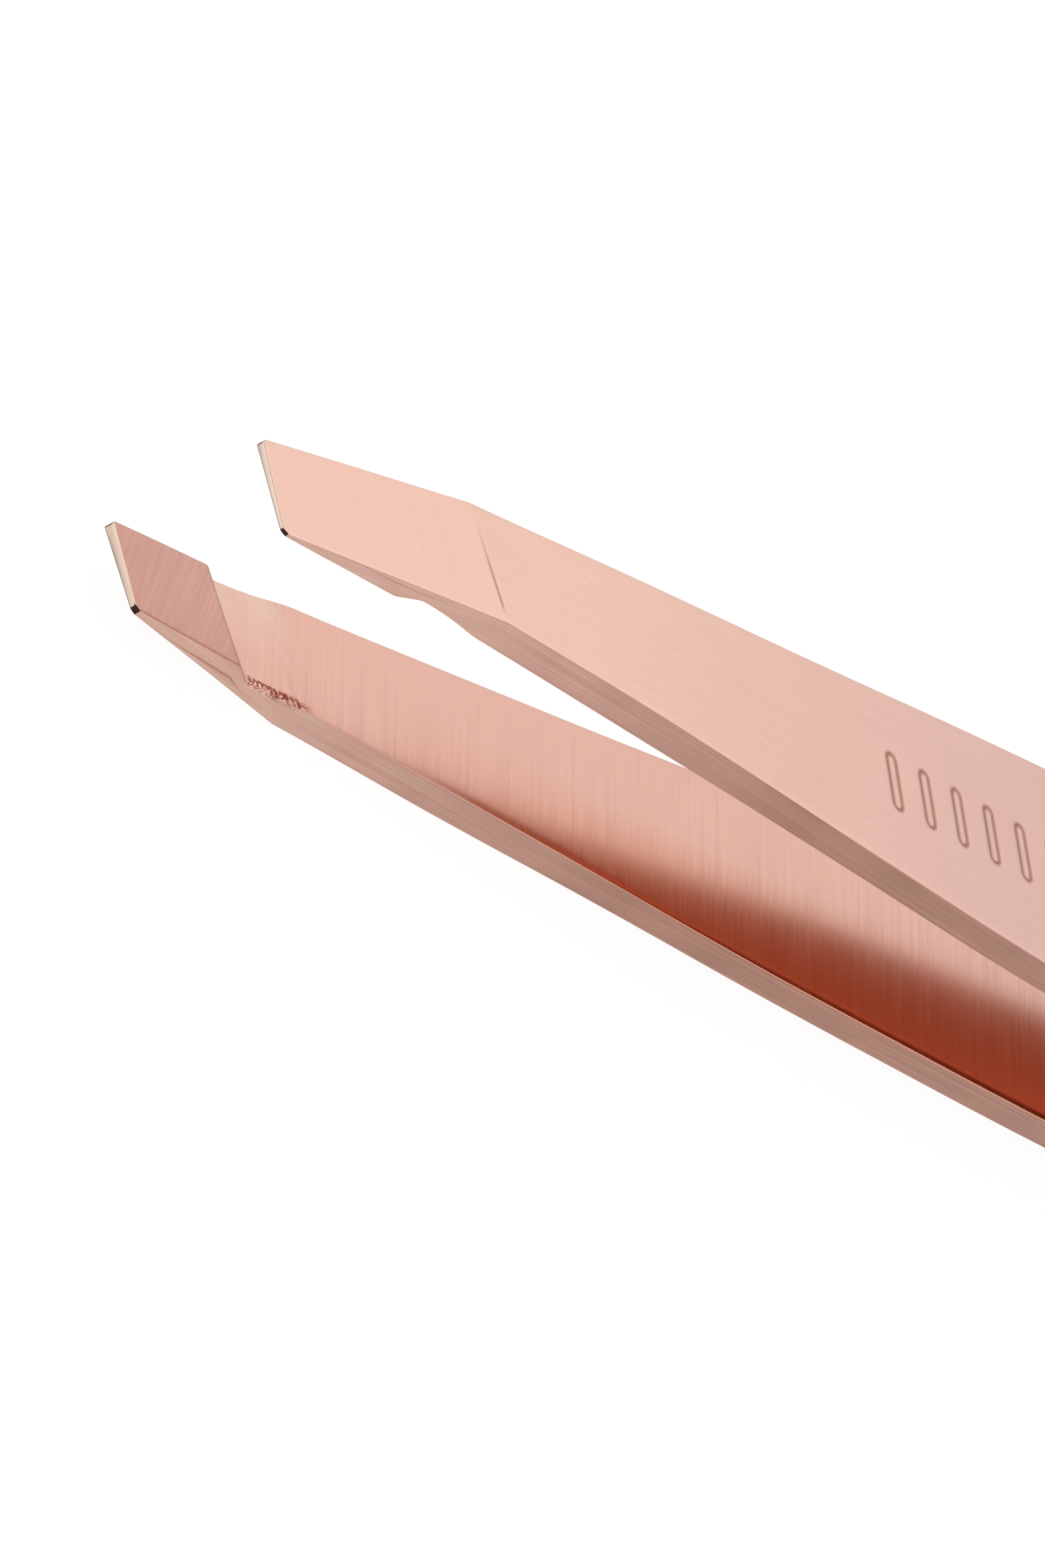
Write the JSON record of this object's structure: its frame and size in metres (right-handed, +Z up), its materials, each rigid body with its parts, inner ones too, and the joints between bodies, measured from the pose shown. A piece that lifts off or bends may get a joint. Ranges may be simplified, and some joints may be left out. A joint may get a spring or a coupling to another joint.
{
  "type": "slant tweezers",
  "caption": "Slant-tip tweezers: bowed spring arms joined at the butt close on ground, slanted gripping edges to pull fine hairs.",
  "frame": {"origin": "middle of the length and of the width, on the surface that the lower arm's outer face touches", "axes": "+X from the tips to the butt, +Y across the arms towards the side where the slanted tips lead, +Z up, the way the arms open"},
  "size_m": [0.095, 0.0086, 0.0106],
  "materials": {
    "arm_plate": "rose-gold plating over steel, brushed lengthwise outside and crosswise inside, ground at the tips",
    "tang_plate": "rose-gold plating over steel, brushed lengthwise",
    "weld_metal": "bare steel as a spot weld leaves it, hidden inside the butt"
  },
  "bodies": {
    "butt": {"upper_tang": "tang_plate", "lower_tang": "tang_plate", "front_spot_weld": "weld_metal", "rear_spot_weld": "weld_metal"},
    "upper_arm": {"upper_arm": "arm_plate"},
    "lower_arm": {"lower_arm": "arm_plate"}
  },
  "joints": [
    {"name": "upper_flex", "type": "hinge", "parent": "butt", "child": "upper_arm", "pos_m": [0.0245, 0, 0.0073], "axis": [0, -1, 0], "range_deg": [0, 2.7], "stiffness_Nm_per_rad": 1.5},
    {"name": "lower_flex", "type": "hinge", "parent": "butt", "child": "lower_arm", "pos_m": [0.0245, 0, 0.00327], "axis": [0, 1, 0], "range_deg": [0, 2.7], "stiffness_Nm_per_rad": 1.5}
  ],
  "couplings": [
    {"joint": "lower_flex", "follows": "upper_flex", "ratio": 1}
  ]
}
